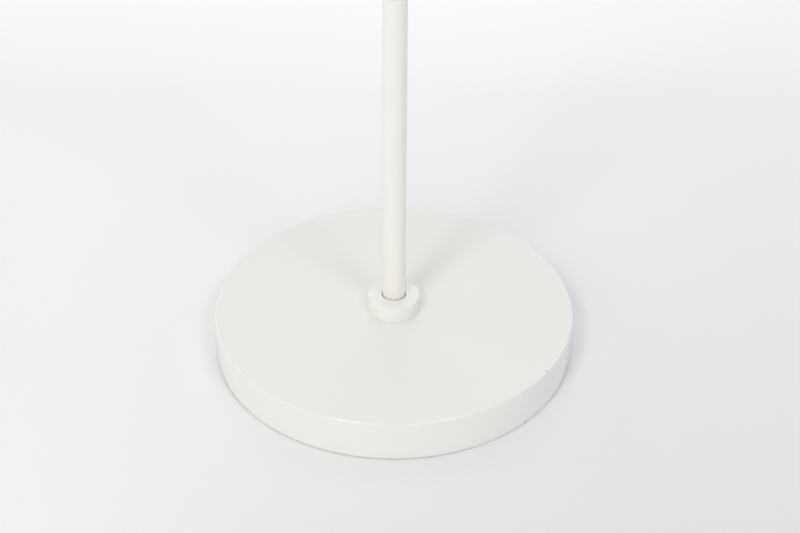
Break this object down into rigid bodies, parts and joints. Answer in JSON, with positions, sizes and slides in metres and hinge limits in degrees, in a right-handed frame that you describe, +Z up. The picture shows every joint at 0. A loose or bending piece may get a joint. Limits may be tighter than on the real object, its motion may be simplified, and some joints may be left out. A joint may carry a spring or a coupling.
{
  "type": "floor lamp",
  "caption": "White reading floor lamp: round weighted base, slim collared pole, swivelling horizontal arm and tilting conical shade with a turn switch.",
  "frame": {"origin": "on the floor, at the centre of the base and on the axis of the pole", "axes": "+Z up along the pole, +X along the arm at rest, +Y towards the cord inlet at the back"},
  "size_m": [0.465, 0.252, 1.3348],
  "materials": {
    "white_paint": "semi-gloss white powder coat, slightly yellowed",
    "collar_plastic": "moulded plastic, satin gloss",
    "felt": "needled felt",
    "cast_iron": "as cast, dipped black",
    "black_rubber": "moulded rubber, matt",
    "zinc_steel": "zinc plated",
    "dark_steel": "black oxide",
    "bright_steel": "nickel plated",
    "nylon": "natural nylon",
    "fibre": "red vulcanised fibre",
    "lead_sheath": "white flexible sheath",
    "holder_plastic": "white thermosetting plastic",
    "brass": "bright brass",
    "opal_glass": "opal white",
    "cap_metal": "nickel coloured sheet",
    "insulator": "black glass insulator",
    "knob_plastic": "white moulded plastic"
  },
  "bodies": {
    "stand": {"base_cover": "white_paint", "ballast": "cast_iron", "base_pad": "felt", "cord_bush": "black_rubber", "base_thread": "zinc_steel", "base_nut": "zinc_steel", "base_washer": "zinc_steel", "terminal_block": "nylon", "terminal_screw": "zinc_steel", "collar": "collar_plastic", "pole_foot": "zinc_steel", "pole_lower": "white_paint", "pole_upper": "white_paint", "joint_bush": "zinc_steel", "joint_stud": "zinc_steel", "top_bush": "white_paint", "pole_lead": "lead_sheath"},
    "arm": {"swivel_washer": "nylon", "swivel_spindle": "zinc_steel", "spindle_clip": "zinc_steel", "stop_pin": "zinc_steel", "arm_hub": "white_paint", "grub_screw": "dark_steel", "arm_tube": "white_paint", "arm_lead": "lead_sheath", "knuckle_arm_half": "white_paint", "friction_ring": "fibre", "knuckle_bolt": "bright_steel", "spring_washer": "bright_steel", "cap_nut": "bright_steel"},
    "head": {"knuckle_head_half": "white_paint", "head_lead": "lead_sheath", "socket_cup": "white_paint", "cup_nut": "zinc_steel", "lampholder": "holder_plastic", "screw_shell": "brass", "centre_contact": "brass", "shade_ring": "holder_plastic", "shade": "white_paint", "bulb_globe": "opal_glass", "bulb_cap": "cap_metal", "bulb_insulator": "insulator", "bulb_tip": "brass"},
    "switch": {"switch_spindle": "brass", "switch_knob": "knob_plastic"}
  },
  "joints": [
    {"name": "arm_swivel", "type": "hinge", "parent": "stand", "child": "arm", "pos_m": [0, 0, 1.3008], "axis": [0, 0, 1], "range_deg": [-160, 160]},
    {"name": "head_tilt", "type": "hinge", "parent": "arm", "child": "head", "pos_m": [0.25, 0, 1.3178], "axis": [0, -1, 0], "range_deg": [-25, 100]},
    {"name": "switch_turn", "type": "hinge", "parent": "head", "child": "switch", "pos_m": [0.25, 0, 1.2398], "axis": [1, 0, 0], "continuous": true}
  ]
}
